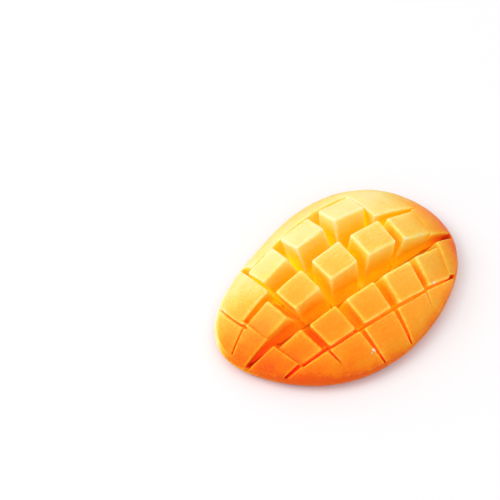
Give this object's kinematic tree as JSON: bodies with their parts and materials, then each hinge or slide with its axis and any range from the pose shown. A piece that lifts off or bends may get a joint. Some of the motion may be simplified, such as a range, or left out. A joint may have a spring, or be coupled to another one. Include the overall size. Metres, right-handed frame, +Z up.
{
  "type": "cubed mango half",
  "caption": "Half a mango scored into cubes and turned inside out, lying on its peel with the cubes fanned upwards.",
  "frame": {"origin": "under the middle of the half's outline, on the surface that it rests on", "axes": "+X along the fruit towards its broad end, +Y across it towards the edge whose flesh is scored least, +Z up out of the cubes"},
  "size_m": [0.1204, 0.0884, 0.0296],
  "materials": {
    "mango_flesh": "gloss",
    "mango_peel": "satin"
  },
  "bodies": {
    "root": {"mango_half": "mango_flesh"}
  },
  "joints": []
}
